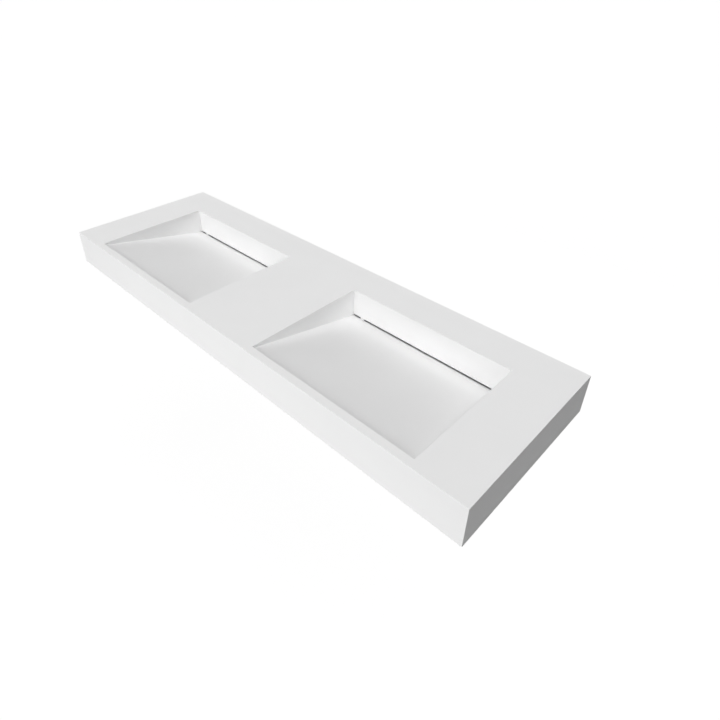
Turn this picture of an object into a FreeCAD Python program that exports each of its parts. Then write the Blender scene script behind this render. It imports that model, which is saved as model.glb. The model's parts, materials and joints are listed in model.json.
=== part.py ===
# Wall-hung double washbasin: a shallow box of white solid-surface board with two wide bowls.
# Each bowl has a sloping floor that runs to a slot under a tip-out rear wall, with the drain trough behind.
# Millimetres. The origin is on the wall face, at mid-length and mid-height of the box.
# +X runs along the wall to the right, +Y points into the wall, +Z is up.

import FreeCAD, Part
import Sketcher
import os

doc = FreeCAD.newDocument("double_washbasin")

# Driving dimensions
DIMENSIONS = {
    # Box and bowl openings
    "board": 12,
    "centre_rim": 250,
    "front_rim": 20,
    "bowl_width": 450,
    "bowl_depth": 330,
    "outer_arris": 0.5,
    "rim_arris": 0.5,
    # Sloping floor: the step at its front edge, and its drop at the rear wall of the bowl
    "lip_step": 5,
    "bowl_drop": 77.5,
    "trough_step": 8.5,
    "skirt_margin": 2,
    # Tip-out rear wall over the drain slot
    "cover_board": 12,
    "cover_land": 2,
    "cover_gap": 0.2,
    "slot_height": 4.2,
    "foot_width": 11,
    "foot_inset": 24.5,
    "foot_setback": 3,
    "foot_clearance": 0.2,
    "spigot_diameter": 4,
    "spigot_length": 8,
    "spigot_fit": 0.05,
    # Strips glued into the inside corners of the box
    "strip_width": 8,
    "strip_height": 25,
    # Wall brackets and the pads that carry them; a pad with its clearances fills the bay at each end
    "bracket_width": 60,
    "bracket_arm_length": 270,
    "bracket_drop": 60,
    "bracket_steel": 5,
    "bracket_bend": 4,
    "gusset_setback": 120,
    "gusset_margin": 10,
    "gusset_root": 1,
    "pad_thickness": 18,
    "pad_side": 10,
    "pad_overhang": 30,
    "bay_clearance": 6.5,
    "wall_hole": 11,
    "wall_hole_spacing": 32,
    "screw_diameter": 6,
    "screw_head_overhang": 3,
    "screw_head_height": 3.5,
    "screw_tip_gap": 2,
    "screw_spacing": 36,
    "screw_first_row": 60,
    "screw_end_margin": 40,
    "screw_fit": 0.3,
    "insert_wall": 1.5,
    "insert_fit": 0.05,
    "pad_skin": 4,
    # Waste sets, built up from the diameter of the threaded tail
    "tail_diameter": 41.9,
    "tail_wall": 3.45,
    "tail_length": 60,
    "tail_chamfer": 1,
    "runout_gap": 2,
    "runout_width": 2.5,
    "runout_depth": 1.6,
    "flange_rim": 11,
    "flange_margin": 12.05,
    "flange_thickness": 3,
    "flange_fit": 0.5,
    "drain_hole_fit": 2,
    "thread_fit": 0.2,
    "upper_seal": 1,
    "upper_seal_inset": 3,
    "lower_seal": 3,
    "washer_thickness": 2,
    "ring_width": 8,
    "nut_wall": 5,
    "nut_thickness": 10,
    "grid_ledge": 4.5,
    "grid_thickness": 1.5,
    "grid_fit": 0.3,
    "grid_slots": 10,
    "grid_slot_width": 3,
    "grid_slot_start": 8,
    "grid_slot_margin": 1,
    "bar_width": 6,
    "bar_height": 8,
    "boss_diameter": 12,
    "grid_screw_diameter": 5,
    "grid_screw_head_overhang": 2,
    "grid_screw_head_height": 1.8,
    "grid_screw_fit": 0.1,
}

sizes = doc.addObject("Spreadsheet::Sheet", "sizes")
for row, (alias, number) in enumerate(DIMENSIONS.items(), start=1):
    sizes.set(f"A{row}", alias)
    sizes.set(f"B{row}", str(number))
    sizes.setAlias(f"B{row}", alias)
doc.recompute()

# Derived sizes and places, as expressions on the sheet
FLANGE_DIAMETER = "(sizes.tail_diameter + 2 * sizes.flange_rim)"
TROUGH_WIDTH = f"({FLANGE_DIAMETER} + 2 * sizes.flange_margin)"
REAR_RIM = f"({TROUGH_WIDTH} + sizes.board)"
PAD_WIDTH = "(sizes.bracket_width + 2 * sizes.pad_side)"
PAD_LENGTH = "(sizes.bracket_arm_length + sizes.pad_overhang)"
END_BAY = f"({PAD_WIDTH} + 2 * sizes.bay_clearance)"
END_RIM = f"(2 * sizes.board + sizes.strip_width + {END_BAY})"
HALF_LENGTH = f"({END_RIM} + sizes.bowl_width + sizes.centre_rim / 2)"
DEPTH = f"(sizes.front_rim + sizes.bowl_depth + {REAR_RIM})"
HEIGHT = "(sizes.bowl_drop + sizes.trough_step + sizes.board + sizes.skirt_margin)"
TOP = f"({HEIGHT} / 2)"
BOTTOM = f"(0 - {TOP})"
FRONT = f"(0 - {DEPTH})"
DECK_UNDERSIDE = f"({TOP} - sizes.board)"
APRON_INSIDE = f"({FRONT} + sizes.board)"
END_INSIDE = f"({HALF_LENGTH} - sizes.board)"
PANEL_INSIDE = "(0 - sizes.board)"
BOWL_FRONT = f"({FRONT} + sizes.front_rim)"
BOWL_REAR = f"({BOWL_FRONT} + sizes.bowl_depth)"
BOWL_CENTRE = "(sizes.centre_rim / 2 + sizes.bowl_width / 2)"
BOWL_FLOOR_LENGTH = f"({PANEL_INSIDE} - {BOWL_FRONT})"
TROUGH_TOP = f"({TOP} - sizes.bowl_drop - sizes.trough_step)"
TROUGH_UNDERSIDE = f"({TROUGH_TOP} - sizes.board)"
DRAIN_Y = f"({PANEL_INSIDE} - {TROUGH_WIDTH} / 2)"
SLOPE = "((sizes.bowl_drop - sizes.lip_step) / sizes.bowl_depth)"
SLANT = f"sqrt(1 + {SLOPE} * {SLOPE})"
RAMP_UPRIGHT = f"(sizes.board * {SLANT})"
COVER_BOTTOM = "(sizes.slot_height - sizes.bowl_drop)"
COVER_WIDTH = "(sizes.bowl_width - 2 * sizes.cover_gap)"
FOOT_OFFSET = "(sizes.bowl_width / 2 - sizes.foot_inset - sizes.foot_width / 2)"
FOOT_HEEL = "(sizes.foot_clearance - sizes.bowl_drop - sizes.trough_step)"
END_STRIP_INSIDE = f"({END_INSIDE} - sizes.strip_width)"
BAY_CENTRE = f"({END_STRIP_INSIDE} - {END_BAY} / 2)"
ARM_TOP = f"({DECK_UNDERSIDE} - sizes.pad_thickness)"
ARM_UNDERSIDE = f"({ARM_TOP} - sizes.bracket_steel)"
INSERT_LENGTH = "(sizes.pad_thickness - sizes.pad_skin)"
INSERT_DIAMETER = "(sizes.screw_diameter + 2 * sizes.insert_wall)"
TAIL_BORE = "(sizes.tail_diameter - 2 * sizes.tail_wall)"
TAIL_END = "(0 - sizes.flange_thickness - sizes.tail_length)"
THREAD_HOLE = "(sizes.tail_diameter + 2 * sizes.thread_fit)"
LOWER_SEAL_TOP = "(0 - sizes.board)"
WASHER_TOP = f"({LOWER_SEAL_TOP} - sizes.lower_seal)"
NUT_TOP = f"({WASHER_TOP} - sizes.washer_thickness)"
RUNOUT_TOP = f"({NUT_TOP} - sizes.nut_thickness - sizes.runout_gap)"
GRID_DIAMETER = f"({TAIL_BORE} + 2 * sizes.grid_ledge)"
GRID_SCREW_HOLE = "(sizes.grid_screw_diameter + 2 * sizes.grid_screw_fit)"

BOWLS = {"left": f"(0 - {BOWL_CENTRE})", "right": BOWL_CENTRE}
BRACKETS = {"left": f"(0 - {BAY_CENTRE})", "centre": "0", "right": BAY_CENTRE}
ORIGIN_POINT = -1
POSITION_TOLERANCE = 1e-6

pieces = []


def value(expression):
    return float(sizes.evalExpression(expression))


def place(item, x="0", y="0", z="0"):
    for axis, expression in (("x", x), ("y", y), ("z", z)):
        item.setExpression(f"Placement.Base.{axis}", expression)
    return item


def finished(item, label):
    item.Label = label
    pieces.append(item)
    return item


# Part primitives and booleans
def make_box(name, length, width, height, x, y, z):
    item = doc.addObject("Part::Box", name)
    item.setExpression("Length", length)
    item.setExpression("Width", width)
    item.setExpression("Height", height)
    return place(item, x, y, z)


def make_cylinder(name, diameter, height, x, y, z):
    item = doc.addObject("Part::Cylinder", name)
    item.setExpression("Radius", f"{diameter} / 2")
    item.setExpression("Height", height)
    return place(item, x, y, z)


def make_cut(name, base, tool):
    item = doc.addObject("Part::Cut", name)
    item.Base = base
    item.Tool = tool
    return item


def make_common(name, base, tool):
    item = doc.addObject("Part::Common", name)
    item.Base = base
    item.Tool = tool
    return item


def make_fuse(name, base, tool):
    item = doc.addObject("Part::Fuse", name)
    item.Base = base
    item.Tool = tool
    return item


def make_group(name, items):
    group = doc.addObject("Part::Compound", name)
    group.Links = items
    return group


def make_ring(name, outer, inner, height, x, y, z):
    rim = make_cylinder(f"{name}_rim", outer, height, x, y, z)
    hole = make_cylinder(f"{name}_hole", inner, height, x, y, z)
    return make_cut(name, rim, hole)


# Sketches and features of bodies
def make_body(name):
    return doc.addObject("PartDesign::Body", name)


def make_sketch(body, role):
    sketch = body.newObject("Sketcher::SketchObject", f"{body.Name}_sketch")
    plane = next(item for item in body.Origin.OriginFeatures if item.Role == role)
    sketch.AttachmentSupport = (plane, [""])
    sketch.MapMode = "FlatFace"
    return sketch


def bind_constraint(sketch, expression, *constraint):
    index = sketch.addConstraint(Sketcher.Constraint(*constraint, value(expression)))
    sketch.setExpression(f"Constraints[{index}]", expression)


def pin_point(sketch, line, end, x, y):
    bind_constraint(sketch, x, "DistanceX", ORIGIN_POINT, 1, line, end)
    bind_constraint(sketch, y, "DistanceY", ORIGIN_POINT, 1, line, end)


def draw_polygon(sketch, corners):
    points = [FreeCAD.Vector(value(x), value(y), 0) for x, y in corners]
    count = len(points)
    lines = [
        sketch.addGeometry(Part.LineSegment(points[i], points[(i + 1) % count]))
        for i in range(count)
    ]
    for i, line in enumerate(lines):
        sketch.addConstraint(Sketcher.Constraint("Coincident", line, 2, lines[(i + 1) % count], 1))
    for line, (x, y) in zip(lines, corners):
        pin_point(sketch, line, 1, x, y)


def draw_circle(sketch, diameter, x="0", y="0"):
    centre = FreeCAD.Vector(value(x), value(y), 0)
    normal = FreeCAD.Vector(0, 0, 1)
    circle = sketch.addGeometry(Part.Circle(centre, normal, value(diameter) / 2))
    pin_point(sketch, circle, 3, x, y)
    bind_constraint(sketch, diameter, "Diameter", circle)


def add_pad(body, sketch, length, symmetric=False, downward=False):
    feature = body.newObject("PartDesign::Pad", f"{body.Name}_pad")
    feature.Profile = sketch
    feature.setExpression("Length", length)
    feature.Reversed = downward
    if symmetric:
        feature.SideType = "Symmetric"
    return feature


def add_pocket(body, sketch, depth):
    feature = body.newObject("PartDesign::Pocket", f"{body.Name}_pocket")
    feature.Profile = sketch
    feature.setExpression("Length", depth)
    return feature


def add_through_pocket(body, sketch):
    feature = body.newObject("PartDesign::Pocket", f"{body.Name}_through")
    feature.Profile = sketch
    feature.Type = "ThroughAll"
    feature.SideType = "Symmetric"
    return feature


def add_revolution(body, sketch):
    feature = body.newObject("PartDesign::Revolution", f"{body.Name}_revolution")
    feature.Profile = sketch
    feature.ReferenceAxis = (sketch, ["V_Axis"])
    return feature


def add_fillet(body, base, radius, wanted):
    doc.recompute()
    edges = [f"Edge{i}" for i, edge in enumerate(base.Shape.Edges, start=1) if wanted(edge)]
    feature = body.newObject("PartDesign::Fillet", f"{body.Name}_fillet")
    feature.Base = (base, edges)
    feature.setExpression("Radius", radius)
    return feature


def near(first, second):
    return abs(first - second) < POSITION_TOLERANCE


# Box: one rounded block, hollowed from below and behind, then parted along its mitres
def make_region(name, inner, outer, inner_x, outer_x, inner_z, outer_z):
    region = doc.addObject("Part::Wedge", name)
    faces = {
        "Ymin": inner,
        "Xmin": inner_x[0],
        "Xmax": inner_x[1],
        "Zmin": inner_z[0],
        "Zmax": inner_z[1],
        "Ymax": outer,
        "X2min": outer_x[0],
        "X2max": outer_x[1],
        "Z2min": outer_z[0],
        "Z2max": outer_z[1],
    }
    for side, expression in faces.items():
        region.setExpression(side, expression)
    return region


def make_shell():
    block = make_body("block")
    outline = make_sketch(block, "XY_Plane")
    left = f"(0 - {HALF_LENGTH})"
    draw_polygon(outline, [(left, FRONT), (HALF_LENGTH, FRONT), (HALF_LENGTH, "0"), (left, "0")])
    solid = add_pad(block, outline, HEIGHT)
    add_fillet(block, solid, "sizes.outer_arris", lambda edge: not near(edge.BoundBox.YMin, 0))
    place(block, z=BOTTOM)
    hollow = make_box(
        "hollow",
        f"2 * {END_INSIDE}",
        DEPTH,
        HEIGHT,
        f"0 - {END_INSIDE}",
        APRON_INSIDE,
        f"{DECK_UNDERSIDE} - {HEIGHT}",
    )
    return make_cut("shell", block, hollow)


def make_front_apron(shell):
    region = make_region(
        "front_region",
        f"{DEPTH} - sizes.board",
        DEPTH,
        (f"0 - {END_INSIDE}", END_INSIDE),
        (f"0 - {HALF_LENGTH}", HALF_LENGTH),
        (BOTTOM, DECK_UNDERSIDE),
        (BOTTOM, TOP),
    )
    region.Placement.Rotation = FreeCAD.Rotation(FreeCAD.Vector(0, 0, 1), 180)
    finished(make_common("front_panel", shell, region), "front_apron")


def make_end_apron(shell, side, turn):
    front_first = side == "left"
    inner_x = (APRON_INSIDE, "0") if front_first else ("0", f"0 - {APRON_INSIDE}")
    outer_x = (FRONT, "0") if front_first else ("0", DEPTH)
    region = make_region(
        f"{side}_region",
        END_INSIDE,
        HALF_LENGTH,
        inner_x,
        outer_x,
        (BOTTOM, DECK_UNDERSIDE),
        (BOTTOM, TOP),
    )
    region.Placement.Rotation = FreeCAD.Rotation(FreeCAD.Vector(0, 0, 1), turn)
    finished(make_common(f"{side}_panel", shell, region), f"{side}_end_apron")


# Opening of one bowl in the deck, undercut at the rear so that the cover's top meets it at the arris
def make_opening(side, bowl_x):
    opening = make_body(f"{side}_opening")
    profile = make_sketch(opening, "YZ_Plane")
    draw_polygon(
        profile,
        [
            ("0 - sizes.bowl_depth", "sizes.board"),
            ("0", "sizes.board"),
            ("0", "0 - sizes.cover_land"),
            ("2 * sizes.board - sizes.cover_land", "0 - 2 * sizes.board"),
            ("0 - sizes.bowl_depth", "0 - 2 * sizes.board"),
        ],
    )
    add_pad(opening, profile, "sizes.bowl_width", symmetric=True)
    return place(opening, bowl_x, BOWL_REAR, TOP)


def make_deck(shell):
    region = make_region(
        "deck_region",
        DECK_UNDERSIDE,
        TOP,
        (f"0 - {END_INSIDE}", END_INSIDE),
        (f"0 - {HALF_LENGTH}", HALF_LENGTH),
        ("0", f"0 - {APRON_INSIDE}"),
        ("0", DEPTH),
    )
    region.Placement.Rotation = FreeCAD.Rotation(FreeCAD.Vector(1, 0, 0), 90)
    blank = make_common("deck_blank", shell, region)
    openings = make_group("openings", [make_opening(side, x) for side, x in BOWLS.items()])
    holed = make_cut("deck_holed", blank, openings)
    doc.recompute()
    deck = doc.addObject("Part::Fillet", "deck_rounded")
    deck.Base = holed
    radius = value("sizes.rim_arris")
    deck.Edges = [
        (i, radius, radius)
        for i, edge in enumerate(holed.Shape.Edges, start=1)
        if is_bowl_rim(edge)
    ]
    finished(deck, "deck")


def is_bowl_rim(edge):
    box = edge.BoundBox
    on_top = near(box.ZMin, value(TOP)) and near(box.ZMax, value(TOP))
    behind_front = box.YMin > value(BOWL_FRONT) - POSITION_TOLERANCE
    before_rear = box.YMax < value(BOWL_REAR) + POSITION_TOLERANCE
    return on_top and behind_front and before_rear


def make_rear_panel():
    panel = make_body("rear_board")
    outline = make_sketch(panel, "XZ_Plane")
    left = f"(0 - {END_INSIDE})"
    draw_polygon(
        outline,
        [
            (left, BOTTOM),
            (END_INSIDE, BOTTOM),
            (END_INSIDE, DECK_UNDERSIDE),
            (left, DECK_UNDERSIDE),
        ],
    )
    add_pad(panel, outline, "sizes.board")
    holes = make_sketch(panel, "XZ_Plane")
    for bracket_x in BRACKETS.values():
        for offset in ("- sizes.wall_hole_spacing / 2", "+ sizes.wall_hole_spacing / 2"):
            draw_circle(holes, "sizes.wall_hole", f"{bracket_x} {offset}", "0")
    add_through_pocket(panel, holes)
    finished(panel, "rear_panel")


def make_corner_strips():
    strip_z = f"{DECK_UNDERSIDE} - sizes.strip_height"
    front = make_box(
        "front_strip",
        f"2 * {END_INSIDE}",
        "sizes.front_rim - sizes.board",
        "sizes.strip_height",
        f"0 - {END_INSIDE}",
        APRON_INSIDE,
        strip_z,
    )
    finished(front, "front_corner_strip")
    for side, strip_x in (("left", f"0 - {END_INSIDE}"), ("right", END_STRIP_INSIDE)):
        strip = make_box(
            f"{side}_strip",
            "sizes.strip_width",
            BOWL_FLOOR_LENGTH,
            "sizes.strip_height",
            strip_x,
            BOWL_FRONT,
            strip_z,
        )
        finished(strip, f"{side}_corner_strip")


# Bowls: side walls, sloping floor and drain trough
def make_bowl_walls(side, bowl_x):
    left_wall = "inner" if side == "right" else "outer"
    right_wall = "outer" if side == "right" else "inner"
    wall_places = {
        left_wall: f"{bowl_x} - sizes.bowl_width / 2 - sizes.board",
        right_wall: f"{bowl_x} + sizes.bowl_width / 2",
    }
    for wall, wall_x in wall_places.items():
        board = make_box(
            f"{side}_{wall}_board",
            "sizes.board",
            BOWL_FLOOR_LENGTH,
            f"{DECK_UNDERSIDE} - {TROUGH_UNDERSIDE}",
            wall_x,
            BOWL_FRONT,
            TROUGH_UNDERSIDE,
        )
        finished(board, f"{side}_bowl_{wall}_wall")


def make_ramp(side, bowl_x):
    ramp = make_body(f"{side}_ramp_board")
    profile = make_sketch(ramp, "YZ_Plane")
    draw_polygon(
        profile,
        [
            ("0", "0 - sizes.lip_step"),
            ("sizes.bowl_depth", "0 - sizes.bowl_drop"),
            ("sizes.bowl_depth", f"0 - sizes.bowl_drop - {RAMP_UPRIGHT}"),
            ("0", f"0 - sizes.lip_step - {RAMP_UPRIGHT}"),
        ],
    )
    add_pad(ramp, profile, "sizes.bowl_width", symmetric=True)
    place(ramp, bowl_x, BOWL_FRONT, TOP)
    finished(ramp, f"{side}_ramp")


def make_trough_floor(side, bowl_x):
    floor = make_body(f"{side}_trough_board")
    outline = make_sketch(floor, "XY_Plane")
    half_x = "sizes.bowl_width / 2"
    half_y = f"{TROUGH_WIDTH} / 2"
    draw_polygon(
        outline,
        [
            (f"0 - {half_x}", f"0 - {half_y}"),
            (half_x, f"0 - {half_y}"),
            (half_x, half_y),
            (f"0 - {half_x}", half_y),
        ],
    )
    add_pad(floor, outline, "sizes.board", downward=True)
    recess = make_sketch(floor, "XY_Plane")
    draw_circle(recess, f"{FLANGE_DIAMETER} + 2 * sizes.flange_fit")
    add_pocket(floor, recess, "sizes.flange_thickness + sizes.upper_seal")
    hole = make_sketch(floor, "XY_Plane")
    draw_circle(hole, "sizes.tail_diameter + 2 * sizes.drain_hole_fit")
    add_through_pocket(floor, hole)
    place(floor, bowl_x, DRAIN_Y, TROUGH_TOP)
    finished(floor, f"{side}_trough_floor")


# Drain cover: the rear wall of the bowl, loose, on two feet that stand in the trough behind the ramp
def make_drain_cover(side, bowl_x):
    cover = make_body(f"{side}_cover_board")
    profile = make_sketch(cover, "YZ_Plane")
    top_edge = "(0 - sizes.cover_land - sizes.cover_gap)"
    draw_polygon(
        profile,
        [
            ("0", COVER_BOTTOM),
            ("0", top_edge),
            ("sizes.cover_board", f"{top_edge} - sizes.cover_board"),
            ("sizes.cover_board", COVER_BOTTOM),
        ],
    )
    add_pad(cover, profile, COVER_WIDTH, symmetric=True)
    for foot_x in (f"0 - {FOOT_OFFSET}", FOOT_OFFSET):
        socket = make_sketch(cover, "XY_Plane")
        socket.setExpression("AttachmentOffset.Base.z", COVER_BOTTOM)
        draw_circle(
            socket,
            "sizes.spigot_diameter + 2 * sizes.spigot_fit",
            foot_x,
            "sizes.cover_board / 2",
        )
        drill = add_pocket(cover, socket, "sizes.spigot_length")
        drill.Reversed = True
    place(cover, bowl_x, BOWL_REAR, TOP)
    finished(cover, f"{side}_drain_cover")


def make_cover_foot(name, foot_x):
    toe = "sizes.foot_clearance"
    back = "(sizes.cover_board - sizes.foot_setback)"
    block = make_body(f"{name}_block")
    profile = make_sketch(block, "YZ_Plane")
    draw_polygon(
        profile,
        [
            (toe, COVER_BOTTOM),
            (toe, FOOT_HEEL),
            (back, FOOT_HEEL),
            (back, COVER_BOTTOM),
        ],
    )
    add_pad(block, profile, "sizes.foot_width", symmetric=True)
    place(block, foot_x, BOWL_REAR, TOP)
    spigot = make_cylinder(
        f"{name}_spigot",
        "sizes.spigot_diameter",
        "sizes.spigot_length",
        foot_x,
        f"{BOWL_REAR} + sizes.cover_board / 2",
        f"{TOP} + {COVER_BOTTOM}",
    )
    return make_fuse(name, block, spigot)


def make_cover_feet(side, bowl_x):
    feet = [
        make_cover_foot(f"{side}_cover_left_foot", f"{bowl_x} - {FOOT_OFFSET}"),
        make_cover_foot(f"{side}_cover_right_foot", f"{bowl_x} + {FOOT_OFFSET}"),
    ]
    finished(make_group(f"{side}_feet", feet), f"{side}_cover_feet")


# Waste set: modelled on the drain's axis, with the top of the trough floor at height 0
def make_waste_body(side, bowl_x):
    body = make_body(f"{side}_waste")
    profile = make_sketch(body, "XZ_Plane")
    bore = f"{TAIL_BORE} / 2"
    tail = "sizes.tail_diameter / 2"
    runout = f"{tail} - sizes.runout_depth"
    flange = f"{FLANGE_DIAMETER} / 2"
    rebate = f"({GRID_DIAMETER} / 2 + sizes.grid_fit)"
    ledge = "(0 - sizes.grid_thickness)"
    draw_polygon(
        profile,
        [
            (bore, TAIL_END),
            (f"{tail} - sizes.tail_chamfer", TAIL_END),
            (tail, f"{TAIL_END} + sizes.tail_chamfer"),
            (tail, f"{RUNOUT_TOP} - sizes.runout_width"),
            (runout, f"{RUNOUT_TOP} - sizes.runout_width"),
            (runout, RUNOUT_TOP),
            (tail, RUNOUT_TOP),
            (tail, "0 - sizes.flange_thickness"),
            (flange, "0 - sizes.flange_thickness"),
            (flange, "0"),
            (rebate, "0"),
            (rebate, ledge),
            (bore, ledge),
        ],
    )
    add_revolution(body, profile)
    bar = make_sketch(body, "XY_Plane")
    bar.setExpression("AttachmentOffset.Base.z", ledge)
    half_length = "(sizes.tail_diameter - sizes.tail_wall) / 2"
    half_width = "sizes.bar_width / 2"
    draw_polygon(
        bar,
        [
            (f"0 - {half_length}", f"0 - {half_width}"),
            (half_length, f"0 - {half_width}"),
            (half_length, half_width),
            (f"0 - {half_length}", half_width),
        ],
    )
    add_pad(body, bar, "sizes.bar_height", downward=True)
    boss = make_sketch(body, "XY_Plane")
    boss.setExpression("AttachmentOffset.Base.z", ledge)
    draw_circle(boss, "sizes.boss_diameter")
    add_pad(body, boss, "sizes.bar_height", downward=True)
    hole = make_sketch(body, "XY_Plane")
    draw_circle(hole, GRID_SCREW_HOLE)
    add_through_pocket(body, hole)
    place(body, bowl_x, DRAIN_Y, TROUGH_TOP)
    finished(body, f"{side}_waste_body")


def make_waste_grid(side, bowl_x):
    grid = make_body(f"{side}_grid")
    disc = make_sketch(grid, "XY_Plane")
    draw_circle(disc, GRID_DIAMETER)
    add_pad(grid, disc, "sizes.grid_thickness", downward=True)
    hole = make_sketch(grid, "XY_Plane")
    draw_circle(hole, GRID_SCREW_HOLE)
    add_through_pocket(grid, hole)
    slot = make_sketch(grid, "XY_Plane")
    slot_end = f"{TAIL_BORE} / 2 - sizes.grid_slot_margin"
    half_width = "sizes.grid_slot_width / 2"
    draw_polygon(
        slot,
        [
            ("sizes.grid_slot_start", f"0 - {half_width}"),
            (slot_end, f"0 - {half_width}"),
            (slot_end, half_width),
            ("sizes.grid_slot_start", half_width),
        ],
    )
    first_slot = add_through_pocket(grid, slot)
    doc.recompute()
    slots = grid.newObject("PartDesign::PolarPattern", f"{side}_grid_slots")
    slots.Originals = [first_slot]
    slots.Axis = (slot, ["N_Axis"])
    slots.setExpression("Occurrences", "sizes.grid_slots")
    grid.Tip = slots
    place(grid, bowl_x, DRAIN_Y, TROUGH_TOP)
    finished(grid, f"{side}_waste_grid")


def make_grid_screw(side, bowl_x):
    shank_length = "(sizes.grid_thickness + sizes.bar_height)"
    head = make_cylinder(
        f"{side}_grid_screw_head",
        "(sizes.grid_screw_diameter + 2 * sizes.grid_screw_head_overhang)",
        "sizes.grid_screw_head_height",
        bowl_x,
        DRAIN_Y,
        TROUGH_TOP,
    )
    shank = make_cylinder(
        f"{side}_grid_screw_shank",
        "sizes.grid_screw_diameter",
        shank_length,
        bowl_x,
        DRAIN_Y,
        f"{TROUGH_TOP} - {shank_length}",
    )
    finished(make_fuse(f"{side}_grid_fixing", head, shank), f"{side}_waste_grid_screw")


def make_waste_rings(side, bowl_x):
    flange_underside = "(0 - sizes.flange_thickness)"
    upper_outer = f"({FLANGE_DIAMETER} - 2 * sizes.upper_seal_inset)"
    lower_outer = f"({THREAD_HOLE} + 2 * sizes.ring_width)"
    rings = {
        "upper_seal": ("sizes.upper_seal", flange_underside, upper_outer),
        "lower_seal": ("sizes.lower_seal", LOWER_SEAL_TOP, lower_outer),
        "washer": ("sizes.washer_thickness", WASHER_TOP, lower_outer),
    }
    for name, (thickness, ring_top, outer) in rings.items():
        ring = make_ring(
            f"{side}_{name}",
            outer,
            THREAD_HOLE,
            thickness,
            bowl_x,
            DRAIN_Y,
            f"{TROUGH_TOP} + {ring_top} - {thickness}",
        )
        finished(ring, f"{side}_waste_{name}")


def make_waste_nut(side, bowl_x):
    nut_z = f"{TROUGH_TOP} + {NUT_TOP} - sizes.nut_thickness"
    hexagon = doc.addObject("Part::Prism", f"{side}_nut_hexagon")
    hexagon.Polygon = 6
    hexagon.setExpression("Circumradius", "(sizes.tail_diameter + 2 * sizes.nut_wall) / sqrt(3)")
    hexagon.setExpression("Height", "sizes.nut_thickness")
    place(hexagon, bowl_x, DRAIN_Y, nut_z)
    hole = make_cylinder(
        f"{side}_nut_hole",
        THREAD_HOLE,
        "sizes.nut_thickness",
        bowl_x,
        DRAIN_Y,
        nut_z,
    )
    finished(make_cut(f"{side}_nut", hexagon, hole), f"{side}_waste_nut")


# Wall brackets under the deck, each on a pad with threaded inserts for its screws
def screw_places(bracket_x):
    return [
        (f"{bracket_x} {across} sizes.screw_spacing / 2", f"{PANEL_INSIDE} - {along}")
        for across in ("-", "+")
        for along in ("sizes.screw_first_row", "(sizes.bracket_arm_length - sizes.screw_end_margin)")
    ]


def make_bracket_pad(side, bracket_x):
    block = make_box(
        f"{side}_pad_block",
        PAD_WIDTH,
        PAD_LENGTH,
        "sizes.pad_thickness",
        f"{bracket_x} - {PAD_WIDTH} / 2",
        f"{PANEL_INSIDE} - {PAD_LENGTH}",
        ARM_TOP,
    )
    holes = [
        make_cylinder(
            f"{side}_pad_hole",
            f"({INSERT_DIAMETER} + 2 * sizes.insert_fit)",
            INSERT_LENGTH,
            x,
            y,
            ARM_TOP,
        )
        for x, y in screw_places(bracket_x)
    ]
    pad = make_cut(f"{side}_pad", block, make_group(f"{side}_pad_holes", holes))
    finished(pad, f"{side}_bracket_pad")


def make_bracket(side, bracket_x):
    bracket = make_body(f"{side}_steel")
    profile = make_sketch(bracket, "YZ_Plane")
    steel = "sizes.bracket_steel"
    draw_polygon(
        profile,
        [
            ("0", "0"),
            ("0 - sizes.bracket_arm_length", "0"),
            ("0 - sizes.bracket_arm_length", f"0 - {steel}"),
            (f"0 - {steel}", f"0 - {steel}"),
            (f"0 - {steel}", "0 - sizes.bracket_drop"),
            ("0", "0 - sizes.bracket_drop"),
        ],
    )
    angle = add_pad(bracket, profile, "sizes.bracket_width", symmetric=True)
    outer_bend = add_fillet(
        bracket,
        angle,
        f"sizes.bracket_bend + {steel}",
        lambda edge: near(edge.BoundBox.ZMin, 0) and near(edge.BoundBox.YMin, 0),
    )
    inside = 0 - value(steel)
    add_fillet(
        bracket,
        outer_bend,
        "sizes.bracket_bend",
        lambda edge: (
            near(edge.BoundBox.ZMin, inside)
            and near(edge.BoundBox.ZMax, inside)
            and near(edge.BoundBox.YMin, inside)
            and near(edge.BoundBox.YMax, inside)
        ),
    )
    web = make_sketch(bracket, "YZ_Plane")
    root = f"sizes.gusset_root - {steel}"
    web_reach = "sizes.gusset_setback - sizes.bracket_arm_length"
    web_drop = "sizes.gusset_margin - sizes.bracket_drop"
    draw_polygon(
        web,
        [
            (root, root),
            (web_reach, root),
            (web_reach, f"0 - {steel}"),
            (f"0 - {steel}", web_drop),
            (root, web_drop),
        ],
    )
    add_pad(bracket, web, steel, symmetric=True)
    wall_holes = make_sketch(bracket, "XZ_Plane")
    for across in ("0 -", "0 +"):
        draw_circle(
            wall_holes,
            "sizes.wall_hole",
            f"{across} sizes.wall_hole_spacing / 2",
            f"0 - {ARM_TOP}",
        )
    add_through_pocket(bracket, wall_holes)
    screw_holes = make_sketch(bracket, "XY_Plane")
    for x, y in screw_places("0"):
        draw_circle(
            screw_holes,
            "sizes.screw_diameter + 2 * sizes.screw_fit",
            x,
            f"{y} - {PANEL_INSIDE}",
        )
    add_through_pocket(bracket, screw_holes)
    place(bracket, bracket_x, PANEL_INSIDE, ARM_TOP)
    finished(bracket, f"{side}_wall_bracket")


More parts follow.
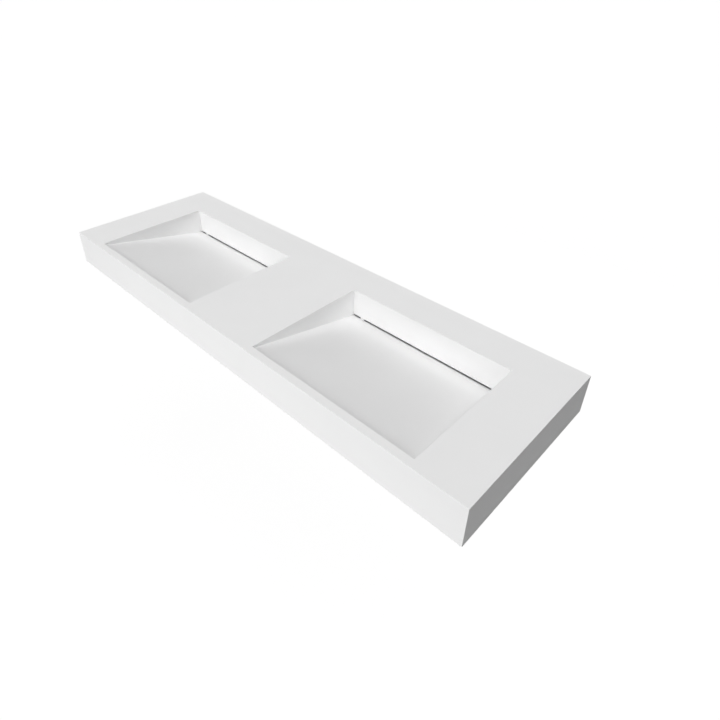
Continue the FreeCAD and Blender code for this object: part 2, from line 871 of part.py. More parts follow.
def make_bracket_fixings():
    spots = [spot for bracket_x in BRACKETS.values() for spot in screw_places(bracket_x)]
    shank_length = f"(sizes.bracket_steel + {INSERT_LENGTH} - sizes.screw_tip_gap)"
    screws = []
    inserts = []
    for x, y in spots:
        head = make_cylinder(
            "bracket_screw_head",
            "(sizes.screw_diameter + 2 * sizes.screw_head_overhang)",
            "sizes.screw_head_height",
            x,
            y,
            f"{ARM_UNDERSIDE} - sizes.screw_head_height",
        )
        shank = make_cylinder(
            "bracket_screw_shank",
            "sizes.screw_diameter",
            shank_length,
            x,
            y,
            ARM_UNDERSIDE,
        )
        screws.append(make_fuse("bracket_screw", head, shank))
        insert = make_ring(
            "bracket_insert",
            INSERT_DIAMETER,
            "(sizes.screw_diameter + 2 * sizes.insert_fit)",
            INSERT_LENGTH,
            x,
            y,
            ARM_TOP,
        )
        inserts.append(insert)
    finished(make_group("screw_group", screws), "bracket_screws")
    finished(make_group("insert_group", inserts), "bracket_inserts")


# Assembly
shell = make_shell()
make_deck(shell)
make_front_apron(shell)
make_end_apron(shell, "left", 90)
make_end_apron(shell, "right", -90)
make_rear_panel()
make_corner_strips()
for side, bowl_x in BOWLS.items():
    make_bowl_walls(side, bowl_x)
    make_ramp(side, bowl_x)
    make_trough_floor(side, bowl_x)
    make_drain_cover(side, bowl_x)
    make_cover_feet(side, bowl_x)
    make_waste_body(side, bowl_x)
    make_waste_grid(side, bowl_x)
    make_grid_screw(side, bowl_x)
    make_waste_rings(side, bowl_x)
    make_waste_nut(side, bowl_x)
for side, bracket_x in BRACKETS.items():
    make_bracket_pad(side, bracket_x)
    make_bracket(side, bracket_x)
make_bracket_fixings()
doc.recompute()

# Every object has to be sound before anything is written
failed = [item.Label for item in doc.Objects if {"Invalid", "Error"} & set(item.State)]
unsound = [item.Label for item in pieces if item.Shape.isNull() or not item.Shape.isValid()]
if failed or unsound:
    raise RuntimeError(f"failed objects: {failed}; unsound shapes: {unsound}")

os.makedirs("parts", exist_ok=True)
for piece in pieces:
    piece.Shape.exportStep(f"parts/{piece.Label}.step")
    print(piece.Label, len(piece.Shape.Solids), round(piece.Shape.Volume, 1))
print("pieces:", len(pieces))
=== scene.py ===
# Looks of the wall-hung double washbasin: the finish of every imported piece, finer meshes for the wastes,
# nuts and screws, beads of weld and adhesive, and a plain studio. Metres and degrees, in the part's frame.

import json
import math

import bmesh
import bpy
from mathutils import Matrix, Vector


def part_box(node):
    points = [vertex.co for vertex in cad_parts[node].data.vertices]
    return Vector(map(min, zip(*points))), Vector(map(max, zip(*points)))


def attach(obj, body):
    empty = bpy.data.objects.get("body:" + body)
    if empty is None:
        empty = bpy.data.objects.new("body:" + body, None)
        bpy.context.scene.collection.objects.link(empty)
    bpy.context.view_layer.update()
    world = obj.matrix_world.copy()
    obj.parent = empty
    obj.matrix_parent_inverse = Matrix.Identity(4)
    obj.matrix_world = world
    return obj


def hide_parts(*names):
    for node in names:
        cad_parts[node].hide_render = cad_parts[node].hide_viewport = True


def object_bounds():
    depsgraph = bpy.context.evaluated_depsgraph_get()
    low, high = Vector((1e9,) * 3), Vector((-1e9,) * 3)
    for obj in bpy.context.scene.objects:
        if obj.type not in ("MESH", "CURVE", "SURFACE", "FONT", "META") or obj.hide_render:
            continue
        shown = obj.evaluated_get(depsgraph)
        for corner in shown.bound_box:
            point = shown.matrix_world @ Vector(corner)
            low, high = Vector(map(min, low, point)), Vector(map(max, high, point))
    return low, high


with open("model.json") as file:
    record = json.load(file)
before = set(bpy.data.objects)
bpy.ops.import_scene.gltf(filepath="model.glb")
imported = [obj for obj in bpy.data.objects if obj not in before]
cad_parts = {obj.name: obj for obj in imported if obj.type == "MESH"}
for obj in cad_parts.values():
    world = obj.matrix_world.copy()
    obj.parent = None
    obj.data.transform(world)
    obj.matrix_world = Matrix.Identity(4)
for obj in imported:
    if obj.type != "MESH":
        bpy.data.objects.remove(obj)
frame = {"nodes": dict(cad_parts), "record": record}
cad_low, cad_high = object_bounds()
nodes = frame["nodes"]

SIDES = ("left", "right")
BRACKETS = ("left", "centre", "right")
DOWN = (0, 0, -1)
FULL_TURN = 2 * math.pi
QUARTER_TURN = math.pi / 2
HEXAGON_HALF_SIDE = math.radians(30)
GOLDEN_RATIO = (1 + math.sqrt(5)) / 2
WHITE = (1, 1, 1, 1)
TINY = 1e-6

# Camera, solved from the photograph's straight edges; lens and sensor in millimetres
CAMERA_PLACE = (0.94722, -1.00420, 0.81876)
CAMERA_AZIMUTH = 44.6644
CAMERA_ELEVATION = 32.4478
CAMERA_LENS = 28.1438
CAMERA_SENSOR = 36
CAMERA_SHIFT = (0.03553, -0.09377)

# Studio: soft lamps round the part, low panels for its front, back and underside, a dim sky and a floor far
# below. An azimuth counts from the front round to the right
LAMPS = {
    "key": {"azimuth": 0, "elevation": 22, "spread": 25, "strength": 1.07},
    "left_key": {"azimuth": -45, "elevation": 20, "spread": 25, "strength": 0.40},
    "right_key": {"azimuth": 45, "elevation": 20, "spread": 25, "strength": 0.52},
    "overhead": {"azimuth": 90, "elevation": 75, "spread": 60, "strength": 1.63},
    "left_fill": {"azimuth": -90, "elevation": 10, "spread": 25, "strength": 0.78},
    "rear_fill": {"azimuth": 180, "elevation": 40, "spread": 25, "strength": 0.14},
}
PANELS = {
    "front_panel": {"place": (0, -2.2, -0.55), "aim": (0, -0.45, 0), "size": (2.2, 0.5), "power": 15},
    "back_panel": {"place": (0, 2.2, -0.55), "aim": (0, 0, 0), "size": (1.3, 0.5), "power": 27},
    "underside_panel": {"place": (0, -0.225, -0.75), "aim": (0, -0.225, 0), "size": (1.3, 0.4), "power": 6},
}
SKY_HORIZON = 0.0
SKY_ZENITH = 0.05
FLOOR_DROP = 0.85
FLOOR_SIZE = 80
FLOOR_BOUNCE = 0.02
FLOOR_GLOW = 0.93
FLOOR_SHADE = 0.09

# Waste set, measured down from the top of its flange
BORE_RADIUS = 0.0175
TAIL_RADIUS = 0.02095
TAIL_CHAMFER = 0.001
FLANGE_THICKNESS = 0.003
FLANGE_ROUND = 0.0012
REBATE_RADIUS = 0.0223
REBATE_DEPTH = 0.0015
SMALL_BREAK = 0.0003
THREAD_PITCH = 0.002309
THREAD_DEPTH = 0.00145
THREAD_ROWS_PER_TURN = 10
THREAD_TOP = -0.0125
RUNOUT_TOP = -0.029
RUNOUT_WIDTH = 0.0025
RUNOUT_DEPTH = 0.0016
BAR_HALF_WIDTH = 0.003
BAR_HEIGHT = 0.008
BAR_EMBED = 0.0008
BOSS_RADIUS = 0.006
SCREW_HOLE_RADIUS = 0.0026
NUT_BORE_RADIUS = 0.02115
NUT_CHAMFER_SLOPE = 0.5
NUT_FACE_SHARE = 0.98
ROUND_SEGMENTS = 96
ROUND_SHARP_ANGLE = 35

# Pads, brackets and screws
PAD_THICKNESS = 0.018
PAD_PLIES = 13
BRACKET_STEEL = 0.005
BRACKET_BEND = 0.004
GUSSET_SETBACK = 0.120
GUSSET_MARGIN = 0.010
BRACKET_SCREW = {"shank": 0.003, "socket": 0.0020, "socket_depth": 0.0022}
GRID_SCREW = {"shank": 0.0025, "socket": 0.0015, "socket_depth": 0.0011}
SCREW_TIP_BREAK = 0.0006
SCREW_SPACING = 0.036
SCREW_FIRST_ROW = 0.060
SCREW_END_MARGIN = 0.040
SCREW_SEGMENTS = 48
HEAD_RIM_SHARE = 0.25
HEAD_FLAT_TO_SOCKET = 1.3
DOME_STEPS = 6

# Beads in the inside corners: welds along the gussets, and adhesive pressed out of the glued joints
WELD = {"leg": 0.003, "bulge": 0.58, "ripple": 0.10, "wave": 0.0026, "pitch": 0.00065, "sink": 0.0003}
ADHESIVE = {"leg": 0.0035, "bulge": 0.40, "ripple": 0.14, "wave": 0.037, "pitch": 0.004, "sink": 0.0002}
BEAD_SHARP_ANGLE = 60
RAMP_THICKNESS = 0.012


# Node graphs of the finishes, all in object coordinates
class Finish:
    def __init__(self, name, metallic=0.0, specular=0.5):
        self.material = bpy.data.materials.new(name)
        self.material.use_nodes = True
        self.tree = self.material.node_tree
        self.shader = self.tree.nodes["Principled BSDF"]
        self.shader.inputs["Metallic"].default_value = metallic
        self.shader.inputs["Specular IOR Level"].default_value = specular
        self.place = self.add("ShaderNodeTexCoord").outputs["Object"]

    def add(self, kind, **settings):
        node = self.tree.nodes.new(kind)
        for key, setting in settings.items():
            setattr(node, key, setting)
        return node

    def feed(self, socket, source):
        if isinstance(source, bpy.types.NodeSocket):
            self.tree.links.new(source, socket)
        else:
            socket.default_value = source

    def stretched(self, stretch):
        mapping = self.add("ShaderNodeMapping")
        self.feed(mapping.inputs["Vector"], self.place)
        self.feed(mapping.inputs["Scale"], stretch)
        return mapping.outputs["Vector"]

    def noise(self, scale, detail, stretch=(1, 1, 1)):
        noise = self.add("ShaderNodeTexNoise")
        self.feed(noise.inputs["Vector"], self.stretched(stretch))
        self.feed(noise.inputs["Scale"], scale)
        self.feed(noise.inputs["Detail"], detail)
        return noise.outputs["Fac"]

    def cells(self, scale):
        voronoi = self.add("ShaderNodeTexVoronoi")
        self.feed(voronoi.inputs["Vector"], self.place)
        self.feed(voronoi.inputs["Scale"], scale)
        split = self.add("ShaderNodeSeparateColor")
        self.feed(split.inputs["Color"], voronoi.outputs["Color"])
        return split.outputs["Red"]

    def math(self, operation, first, second=0.0):
        node = self.add("ShaderNodeMath", operation=operation)
        self.feed(node.inputs[0], first)
        self.feed(node.inputs[1], second)
        return node.outputs[0]

    def axis(self, letter):
        split = self.add("ShaderNodeSeparateXYZ")
        self.feed(split.inputs["Vector"], self.place)
        return split.outputs[letter]

    def level(self, factor, low, high, start=0.3, end=0.7):
        node = self.add("ShaderNodeMapRange")
        self.feed(node.inputs["Value"], factor)
        for socket, number in (("From Min", start), ("From Max", end), ("To Min", low), ("To Max", high)):
            self.feed(node.inputs[socket], number)
        return node.outputs["Result"]

    def mix(self, factor, first, second):
        node = self.add("ShaderNodeMix", data_type="RGBA")
        self.feed(node.inputs["Factor"], factor)
        colours = [socket for socket in node.inputs if socket.type == "RGBA"]
        for socket, colour in zip(colours, (first, second)):
            self.feed(socket, colour if isinstance(colour, bpy.types.NodeSocket) else (*colour, 1))
        return next(socket for socket in node.outputs if socket.type == "RGBA")

    def bump(self, height, strength, distance):
        node = self.add("ShaderNodeBump")
        self.feed(node.inputs["Height"], height)
        self.feed(node.inputs["Strength"], strength)
        self.feed(node.inputs["Distance"], distance)
        self.feed(self.shader.inputs["Normal"], node.outputs["Normal"])

    def done(self, colour, roughness):
        self.feed(self.shader.inputs["Base Color"], colour)
        self.feed(self.shader.inputs["Roughness"], roughness)
        return self.material


def white_solid_surface():
    finish = Finish("white_solid_surface", specular=0.2)
    clouds = finish.level(finish.noise(scale=7, detail=3), low=0, high=1)
    body = finish.mix(clouds, (0.892, 0.892, 0.892), (0.908, 0.908, 0.908))
    grains = finish.level(finish.noise(scale=1500, detail=1), low=0, high=0.3, start=0.6, end=0.72)
    colour = finish.mix(grains, body, (0.82, 0.82, 0.82))
    finish.bump(finish.noise(scale=2200, detail=2), strength=0.05, distance=0.0002)
    return finish.done(colour, finish.level(finish.noise(scale=45, detail=4), low=0.76, high=0.84))


def white_nylon():
    finish = Finish("white_nylon")
    clouds = finish.level(finish.noise(scale=120, detail=3), low=0, high=1)
    colour = finish.mix(clouds, (0.85, 0.85, 0.84), (0.89, 0.89, 0.88))
    finish.bump(finish.noise(scale=1800, detail=2), strength=0.1, distance=0.0002)
    return finish.done(colour, finish.level(finish.noise(scale=300, detail=2), low=0.5, high=0.62))


def chrome():
    finish = Finish("chrome", metallic=1.0)
    smears = finish.noise(scale=60, detail=4, stretch=(1, 1, 0.4))
    colour = finish.mix(finish.level(smears, low=0, high=1), (0.57, 0.58, 0.59), (0.63, 0.64, 0.65))
    return finish.done(colour, finish.level(smears, low=0.07, high=0.16))


def stainless():
    finish = Finish("stainless", metallic=1.0)
    grain = finish.noise(scale=900, detail=2, stretch=(0.02, 1, 1))
    colour = finish.mix(finish.level(grain, low=0, high=1), (0.56, 0.56, 0.55), (0.68, 0.68, 0.67))
    finish.bump(grain, strength=0.08, distance=0.0001)
    return finish.done(colour, finish.level(grain, low=0.26, high=0.38))


def black_rubber():
    finish = Finish("black_rubber")
    clouds = finish.level(finish.noise(scale=200, detail=3), low=0, high=1)
    colour = finish.mix(clouds, (0.022, 0.022, 0.022), (0.045, 0.045, 0.044))
    finish.bump(finish.noise(scale=2500, detail=2), strength=0.2, distance=0.0002)
    return finish.done(colour, finish.level(finish.noise(scale=500, detail=2), low=0.7, high=0.85))


def brass():
    finish = Finish("brass", metallic=1.0)
    tarnish = finish.level(finish.noise(scale=110, detail=4), low=0, high=1)
    colour = finish.mix(tarnish, (0.75, 0.58, 0.27), (0.62, 0.45, 0.20))
    turned = finish.noise(scale=1600, detail=1, stretch=(0.05, 0.05, 1))
    finish.bump(turned, strength=0.08, distance=0.0001)
    return finish.done(colour, finish.level(tarnish, low=0.24, high=0.4, start=0, end=1))


def galvanised_steel():
    finish = Finish("galvanised_steel", metallic=1.0)
    spangle = finish.cells(scale=150)
    colour = finish.mix(spangle, (0.50, 0.52, 0.54), (0.66, 0.68, 0.70))
    finish.bump(finish.noise(scale=700, detail=3), strength=0.08, distance=0.0002)
    return finish.done(colour, finish.level(spangle, low=0.34, high=0.52, start=0, end=1))


# Every second ply turns its grain across and is darker, and a line of glue lies between two plies
def plywood():
    finish = Finish("plywood")
    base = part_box("centre_bracket_pad")[0].z
    above = finish.math("SUBTRACT", finish.axis("Z"), base)
    plies = finish.math("DIVIDE", above, PAD_THICKNESS / PAD_PLIES)
    crossed = finish.math("MODULO", finish.math("FLOOR", plies), 2.0)
    glue = finish.level(finish.math("PINGPONG", plies, 0.5), low=1, high=0, start=0.0, end=0.08)
    along = finish.noise(scale=150, detail=5, stretch=(1, 0.06, 1))
    across = finish.noise(scale=150, detail=5, stretch=(0.06, 1, 1))
    grain = finish.mix(crossed, along, across)
    wood = finish.mix(finish.level(grain, low=0, high=1), (0.66, 0.49, 0.31), (0.47, 0.32, 0.18))
    shaded = finish.mix(finish.math("MULTIPLY", crossed, 0.35), wood, (0.40, 0.27, 0.15))
    colour = finish.mix(finish.math("MULTIPLY", glue, 0.6), shaded, (0.20, 0.12, 0.06))
    finish.bump(grain, strength=0.25, distance=0.0004)
    return finish.done(colour, roughness=0.75)


FINISHES = (
    white_solid_surface,
    white_nylon,
    chrome,
    stainless,
    black_rubber,
    brass,
    galvanised_steel,
    plywood,
)
finishes = {make.__name__: make() for make in FINISHES}
for part in frame["record"]["subparts"]:
    for material_slot in nodes[part["node"]].material_slots:
        material_slot.material = finishes[part["material_slot"]]


# Closed solids made of rings of points: a row is a height and a radius, fixed or by angle
def turn_solid(mesh, rows, segments, centre, hollow=False):
    rings = []
    for height, radius in rows:
        ring = []
        for step in range(segments):
            angle = FULL_TURN * step / segments
            reach = radius(angle) if callable(radius) else radius
            point = (reach * math.cos(angle), reach * math.sin(angle), height)
            ring.append(mesh.verts.new(Vector(point) + Vector(centre)))
        rings.append(ring)
    pairs = list(zip(rings, rings[1:]))
    if hollow:
        pairs.append((rings[-1], rings[0]))
    else:
        mesh.faces.new(rings[0])
        mesh.faces.new(rings[-1])
    for first, second in pairs:
        for step in range(segments):
            after = (step + 1) % segments
            mesh.faces.new((first[step], first[after], second[after], second[step]))


def finish_piece(name, mesh, slot, replaced=None, sharp_angle=ROUND_SHARP_ANGLE):
    bmesh.ops.recalc_face_normals(mesh, faces=mesh.faces)
    data = bpy.data.meshes.new(name)
    mesh.to_mesh(data)
    mesh.free()
    data.polygons.foreach_set("use_smooth", [True] * len(data.polygons))
    data.set_sharp_from_angle(angle=math.radians(sharp_angle))
    data.materials.append(finishes[slot])
    piece = bpy.data.objects.new(name, data)
    bpy.context.scene.collection.objects.link(piece)
    if replaced:
        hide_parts(replaced)
    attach(piece, "basin")


def middle_x(node):
    low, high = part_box(node)
    return (low.x + high.x) / 2


def axis_point(low, high, height):
    return ((low.x + high.x) / 2, (low.y + high.y) / 2, height)


def hexagon_reach(flat_radius, angle):
    return flat_radius / math.cos(angle % (2 * HEXAGON_HALF_SIDE) - HEXAGON_HALF_SIDE)


def rounded(start_height, start_radius, rise, reach):
    rows = []
    for step in range(1, DOME_STEPS + 1):
        turn = QUARTER_TURN * step / DOME_STEPS
        rows.append((start_height + rise * math.sin(turn), start_radius - reach * (1 - math.cos(turn))))
    return rows


# Wastes: flange, threaded tail with its run-out groove, and the bar that takes the grid screw
def smooth_step(share):
    return share * share * (3 - 2 * share)


def thread_radius(height, depth, limit):
    def radius(angle):
        turn = height / THREAD_PITCH - angle / FULL_TURN
        flank = 2 * abs(turn % 1 - 0.5)
        return min(limit, TAIL_RADIUS - depth * smooth_step(flank))

    return radius


def thread_rows(bottom, top, end_chamfer=0.0):
    count = round((top - bottom) / THREAD_PITCH * THREAD_ROWS_PER_TURN)
    rows = []
    for step in range(count + 1):
        height = bottom + (top - bottom) * step / count
        fade = min(1.0, (top - height) / THREAD_PITCH)
        limit = TAIL_RADIUS - max(0.0, end_chamfer - (height - bottom))
        rows.append((height, thread_radius(height, THREAD_DEPTH * fade, limit)))
    return rows


def waste_rows(flange_radius, tail_end):
    groove_bottom = RUNOUT_TOP - RUNOUT_WIDTH
    groove_radius = TAIL_RADIUS - RUNOUT_DEPTH
    rows = [(tail_end + SMALL_BREAK, BORE_RADIUS), (tail_end, BORE_RADIUS + SMALL_BREAK)]
    rows += thread_rows(tail_end, groove_bottom, TAIL_CHAMFER)
    rows += [(groove_bottom, groove_radius), (RUNOUT_TOP, groove_radius)]
    rows += thread_rows(RUNOUT_TOP, THREAD_TOP)
    rows += [
        (-FLANGE_THICKNESS, TAIL_RADIUS),
        (-FLANGE_THICKNESS, flange_radius - SMALL_BREAK),
        (SMALL_BREAK - FLANGE_THICKNESS, flange_radius),
        (-FLANGE_ROUND, flange_radius),
    ]
    rows += rounded(-FLANGE_ROUND, flange_radius, FLANGE_ROUND, FLANGE_ROUND)
    rows += [
        (0, REBATE_RADIUS + SMALL_BREAK),
        (-SMALL_BREAK, REBATE_RADIUS),
        (-REBATE_DEPTH, REBATE_RADIUS),
        (-REBATE_DEPTH, BORE_RADIUS + SMALL_BREAK),
        (-REBATE_DEPTH - SMALL_BREAK, BORE_RADIUS),
    ]
    return rows


def bar_radius(angle):
    across = max(abs(math.sin(angle)), TINY)
    bar_reach = min(BORE_RADIUS + BAR_EMBED, BAR_HALF_WIDTH / across)
    return max(BOSS_RADIUS, bar_reach)


def make_waste(side):
    low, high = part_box(f"{side}_waste_body")
    flange_radius = (high.x - low.x) / 2
    centre = axis_point(low, high, high.z)
    mesh = bmesh.new()
    turn_solid(mesh, waste_rows(flange_radius, low.z - high.z), ROUND_SEGMENTS, centre, hollow=True)
    bar_top = -REBATE_DEPTH
    bar_bottom = bar_top - BAR_HEIGHT
    bar_rows = [
        (bar_bottom, bar_radius),
        (bar_top, bar_radius),
        (bar_top, SCREW_HOLE_RADIUS),
        (bar_bottom, SCREW_HOLE_RADIUS),
    ]
    turn_solid(mesh, bar_rows, ROUND_SEGMENTS, centre, hollow=True)
    finish_piece(f"{side}_waste_threaded_body", mesh, "chrome", f"{side}_waste_body")


# Back nuts: hexagons with their corners turned off at both faces
def nut_radius(flat_radius, depth):
    turned = flat_radius * NUT_FACE_SHARE + depth / NUT_CHAMFER_SLOPE

    def radius(angle):
        return min(hexagon_reach(flat_radius, angle), turned)

    return radius


def make_nut(side):
    low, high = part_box(f"{side}_waste_nut")
    flat_radius = (high.y - low.y) / 2
    thickness = high.z - low.z
    corner_share = 1 / math.cos(HEXAGON_HALF_SIDE)
    corner_depth = flat_radius * (corner_share - NUT_FACE_SHARE) * NUT_CHAMFER_SLOPE
    steps = [corner_depth * step / DOME_STEPS for step in range(DOME_STEPS + 1)]
    rows = [(thickness - SMALL_BREAK, NUT_BORE_RADIUS), (SMALL_BREAK, NUT_BORE_RADIUS)]
    rows += [(0, NUT_BORE_RADIUS + SMALL_BREAK)]
    rows += [(depth, nut_radius(flat_radius, depth)) for depth in steps]
    rows += [(thickness - depth, nut_radius(flat_radius, depth)) for depth in reversed(steps)]
    rows += [(thickness, NUT_BORE_RADIUS + SMALL_BREAK)]
    mesh = bmesh.new()
    turn_solid(mesh, rows, ROUND_SEGMENTS, axis_point(low, high, low.z), hollow=True)
    finish_piece(f"{side}_waste_hexagon_nut", mesh, "brass", f"{side}_waste_nut")


# Screws: domed heads with a hexagon socket; way is +1 where the head looks up and -1 where it looks down
def add_screw(mesh, size, head_radius, head_height, length, seat, way):
    def socket(angle):
        return hexagon_reach(size["socket"], angle)

    rim = head_height * HEAD_RIM_SHARE
    dome_reach = head_radius - size["socket"] * HEAD_FLAT_TO_SOCKET
    rows = [
        (-length, size["shank"] - SCREW_TIP_BREAK),
        (SCREW_TIP_BREAK - length, size["shank"]),
        (0, size["shank"]),
        (0, head_radius - SMALL_BREAK),
        (SMALL_BREAK, head_radius),
        (rim, head_radius),
    ]
    rows += rounded(rim, head_radius, head_height - rim, dome_reach)
    rows += [(head_height, socket), (head_height - size["socket_depth"], socket)]
    turn_solid(mesh, [(way * height, radius) for height, radius in rows], SCREW_SEGMENTS, seat)


def make_grid_screw(side):
    low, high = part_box(f"{side}_waste_grid_screw")
    seat_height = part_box(f"{side}_waste_grid")[1].z
    seat = axis_point(low, high, seat_height)
    mesh = bmesh.new()
    add_screw(mesh, GRID_SCREW, (high.x - low.x) / 2, high.z - seat_height, seat_height - low.z, seat, 1)
    finish_piece(f"{side}_waste_socket_screw", mesh, "stainless", f"{side}_waste_grid_screw")


def make_bracket_screws():
    low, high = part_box("bracket_screws")
    seat_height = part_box("centre_bracket_pad")[0].z - BRACKET_STEEL
    head_radius = high.x - middle_x("right_wall_bracket") - SCREW_SPACING / 2
    head_height = seat_height - low.z
    length = high.z - seat_height
    mesh = bmesh.new()
    for bracket in BRACKETS:
        bracket_low, bracket_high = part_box(f"{bracket}_wall_bracket")
        middle = middle_x(f"{bracket}_wall_bracket")
        for x in (middle - SCREW_SPACING / 2, middle + SCREW_SPACING / 2):
            for y in (bracket_high.y - SCREW_FIRST_ROW, bracket_low.y + SCREW_END_MARGIN):
                seat = (x, y, seat_height)
                add_screw(mesh, BRACKET_SCREW, head_radius, head_height, length, seat, -1)
    finish_piece("bracket_socket_screws", mesh, "stainless", "bracket_screws")


# A bead fills the corner between two faces, which lead away from it along first and second
def add_bead(mesh, kind, start, end, first, second):
    start, end, first, second = (Vector(item) for item in (start, end, first, second))
    run = end - start
    steps = max(2, round(run.length / kind["pitch"]))
    corner = (first + second) * kind["sink"]
    rings = []
    for step in range(steps + 1):
        share = step / steps
        wave = math.sin(FULL_TURN * share * run.length / kind["wave"])
        slow_wave = math.sin(FULL_TURN * share * run.length / (kind["wave"] * GOLDEN_RATIO))
        leg = kind["leg"] * (1 + kind["ripple"] * (wave + slow_wave) / 2)
        here = start + run * share
        points = (
            here - corner,
            here + first * leg - second * kind["sink"],
            here + (first + second) * leg * kind["bulge"],
            here + second * leg - first * kind["sink"],
        )
        rings.append([mesh.verts.new(point) for point in points])
    mesh.faces.new(rings[0])
    mesh.faces.new(rings[-1])
    for ring, after in zip(rings, rings[1:]):
        for index in range(len(ring)):
            beside = (index + 1) % len(ring)
            mesh.faces.new((ring[index], ring[beside], after[beside], after[index]))


def make_welds():
    mesh = bmesh.new()
    for bracket in BRACKETS:
        low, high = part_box(f"{bracket}_wall_bracket")
        arm = high.z - BRACKET_STEEL
        plate = high.y - BRACKET_STEEL
        arm_end = low.y + GUSSET_SETBACK
        plate_end = low.z + GUSSET_MARGIN
        for way in (-1, 1):
            x = middle_x(f"{bracket}_wall_bracket") + way * BRACKET_STEEL / 2
            aside = (way, 0, 0)
            forward = (0, -1, 0)
            add_bead(mesh, WELD, (x, plate - BRACKET_BEND, arm), (x, arm_end, arm), aside, DOWN)
            add_bead(mesh, WELD, (x, plate, arm - BRACKET_BEND), (x, plate, plate_end), aside, forward)
    finish_piece("bracket_weld_beads", mesh, "galvanised_steel", sharp_angle=BEAD_SHARP_ANGLE)


def make_adhesive():
    mesh = bmesh.new()
    deck_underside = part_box("centre_bracket_pad")[1].z

    def glue(start, end, away):
        add_bead(mesh, ADHESIVE, start, end, away, DOWN)

    for side in SIDES:
        ramp_low, ramp_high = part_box(f"{side}_ramp")
        run = ramp_high.y - ramp_low.y
        fall = ramp_high.z - ramp_low.z
        rough_slope = (fall - RAMP_THICKNESS) / run
        upright = RAMP_THICKNESS * math.sqrt(1 + rough_slope * rough_slope)
        slope = (fall - upright) / run
        front_height = ramp_high.z - upright
        for wall in ("inner", "outer"):
            low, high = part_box(f"{side}_bowl_{wall}_wall")
            outward = 1 if high.x > ramp_high.x else -1
            outside = high.x if outward > 0 else low.x
            inside = low.x if outward > 0 else high.x
            glue((outside, low.y, deck_underside), (outside, high.y, deck_underside), (outward, 0, 0))
            glue((inside, ramp_low.y, front_height), (inside, ramp_high.y, ramp_low.z), (-outward, 0, 0))
        glue((ramp_low.x, ramp_low.y, front_height), (ramp_high.x, ramp_low.y, front_height), (0, 1, -slope))
        glue((ramp_low.x, ramp_high.y, ramp_low.z), (ramp_high.x, ramp_high.y, ramp_low.z), (0, -1, slope))
    for strip, inward in (("front", (0, 1, 0)), ("left", (1, 0, 0)), ("right", (-1, 0, 0))):
        low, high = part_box(f"{strip}_corner_strip")
        start = (high.x if strip == "right" else low.x, low.y, low.z)
        end = (low.x if strip == "left" else high.x, low.y if strip == "front" else high.y, low.z)
        glue(start, end, inward)
    finish_piece("adhesive_beads", mesh, "white_solid_surface", sharp_angle=BEAD_SHARP_ANGLE)


for side in SIDES:
    make_waste(side)
    make_nut(side)
    make_grid_screw(side)
make_bracket_screws()
make_welds()
make_adhesive()


# Studio
def seen_directly(tree):
    path = tree.nodes.new("ShaderNodeLightPath")
    result = path.outputs["Is Camera Ray"]
    for name in ("Is Glossy Ray", "Is Transmission Ray"):
        either = tree.nodes.new("ShaderNodeMath")
        either.operation = "MAXIMUM"
        tree.links.new(result, either.inputs[0])
        tree.links.new(path.outputs[name], either.inputs[1])
        result = either.outputs[0]
    return result


def make_world():
    world = bpy.data.worlds.new("studio")
    bpy.context.scene.world = world
    world.use_nodes = True
    tree = world.node_tree
    sky = tree.nodes["Background"]
    direction = tree.nodes.new("ShaderNodeTexCoord")
    split = tree.nodes.new("ShaderNodeSeparateXYZ")
    tree.links.new(direction.outputs["Generated"], split.inputs[0])
    brightness = tree.nodes.new("ShaderNodeMapRange")
    tree.links.new(split.outputs["Z"], brightness.inputs["Value"])
    brightness.inputs["To Min"].default_value = SKY_HORIZON
    brightness.inputs["To Max"].default_value = SKY_ZENITH
    tree.links.new(brightness.outputs["Result"], sky.inputs["Strength"])
    sky.inputs["Color"].default_value = WHITE
    backdrop = tree.nodes.new("ShaderNodeBackground")
    backdrop.inputs["Color"].default_value = WHITE
    choose = tree.nodes.new("ShaderNodeMixShader")
    tree.links.new(seen_directly(tree), choose.inputs["Fac"])
    tree.links.new(sky.outputs[0], choose.inputs[1])
    tree.links.new(backdrop.outputs[0], choose.inputs[2])
    tree.links.new(choose.outputs[0], tree.nodes["World Output"].inputs["Surface"])


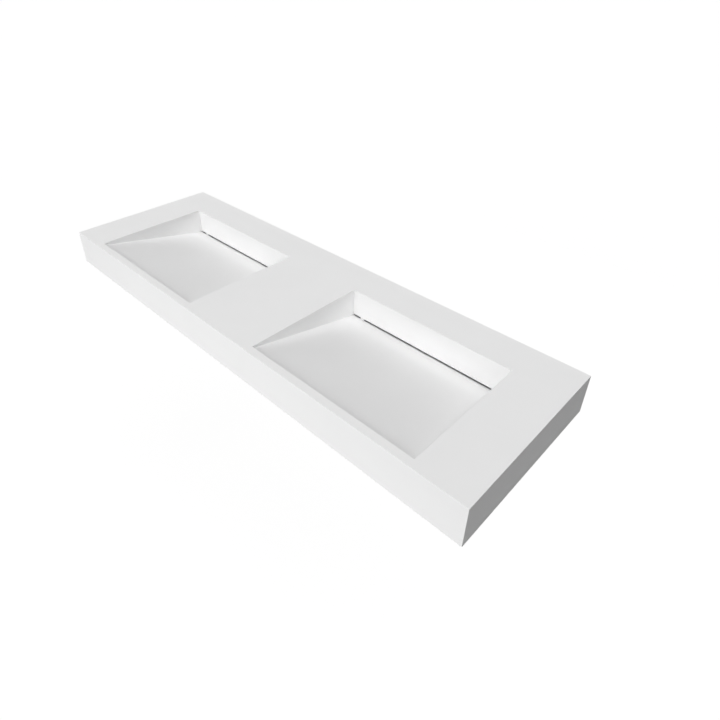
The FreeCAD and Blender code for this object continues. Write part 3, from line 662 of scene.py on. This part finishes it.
# The floor glows nearly white where it is seen and shades under the part, but throws little light back up
def make_floor():
    mesh = bmesh.new()
    bmesh.ops.create_grid(mesh, x_segments=1, y_segments=1, size=FLOOR_SIZE / 2)
    data = bpy.data.meshes.new("floor")
    mesh.to_mesh(data)
    mesh.free()
    floor = bpy.data.objects.new("floor", data)
    floor.location.z = cad_high.z - FLOOR_DROP
    bpy.context.scene.collection.objects.link(floor)
    material = bpy.data.materials.new("floor")
    material.use_nodes = True
    tree = material.node_tree
    tree.nodes.remove(tree.nodes["Principled BSDF"])
    bounce = tree.nodes.new("ShaderNodeBsdfDiffuse")
    bounce.inputs["Color"].default_value = (FLOOR_BOUNCE, FLOOR_BOUNCE, FLOOR_BOUNCE, 1)
    shade = tree.nodes.new("ShaderNodeBsdfDiffuse")
    shade.inputs["Color"].default_value = (FLOOR_SHADE, FLOOR_SHADE, FLOOR_SHADE, 1)
    glow = tree.nodes.new("ShaderNodeEmission")
    glow.inputs["Strength"].default_value = FLOOR_GLOW
    shown = tree.nodes.new("ShaderNodeAddShader")
    tree.links.new(shade.outputs[0], shown.inputs[0])
    tree.links.new(glow.outputs[0], shown.inputs[1])
    choose = tree.nodes.new("ShaderNodeMixShader")
    tree.links.new(seen_directly(tree), choose.inputs["Fac"])
    tree.links.new(bounce.outputs[0], choose.inputs[1])
    tree.links.new(shown.outputs[0], choose.inputs[2])
    tree.links.new(choose.outputs[0], tree.nodes["Material Output"].inputs["Surface"])
    data.materials.append(material)


def turned_to(azimuth, elevation):
    return (math.radians(90 - elevation), 0, math.radians(azimuth))


def make_lamp(name, azimuth, elevation, spread, strength):
    data = bpy.data.lights.new(name, "SUN")
    data.energy = strength
    data.angle = math.radians(spread)
    lamp = bpy.data.objects.new(name, data)
    lamp.rotation_euler = turned_to(azimuth, elevation)
    bpy.context.scene.collection.objects.link(lamp)


def make_panel(name, place, aim, size, power):
    data = bpy.data.lights.new(name, "AREA")
    data.energy = power
    data.shape = "RECTANGLE"
    data.size, data.size_y = size
    panel = bpy.data.objects.new(name, data)
    panel.location = place
    panel.rotation_euler = (Vector(aim) - Vector(place)).to_track_quat("-Z", "Y").to_euler()
    panel.visible_camera = False
    panel.visible_glossy = False
    bpy.context.scene.collection.objects.link(panel)


def make_camera():
    data = bpy.data.cameras.new("camera")
    data.lens = CAMERA_LENS
    data.sensor_width = CAMERA_SENSOR
    data.shift_x, data.shift_y = CAMERA_SHIFT
    camera = bpy.data.objects.new("camera", data)
    camera.location = CAMERA_PLACE
    camera.rotation_euler = turned_to(CAMERA_AZIMUTH, CAMERA_ELEVATION)
    bpy.context.scene.collection.objects.link(camera)
    bpy.context.scene.camera = camera


make_world()
make_floor()
for name, setting in LAMPS.items():
    make_lamp(name, **setting)
for name, setting in PANELS.items():
    make_panel(name, **setting)
make_camera()
bpy.context.scene.view_settings.view_transform = "Standard"
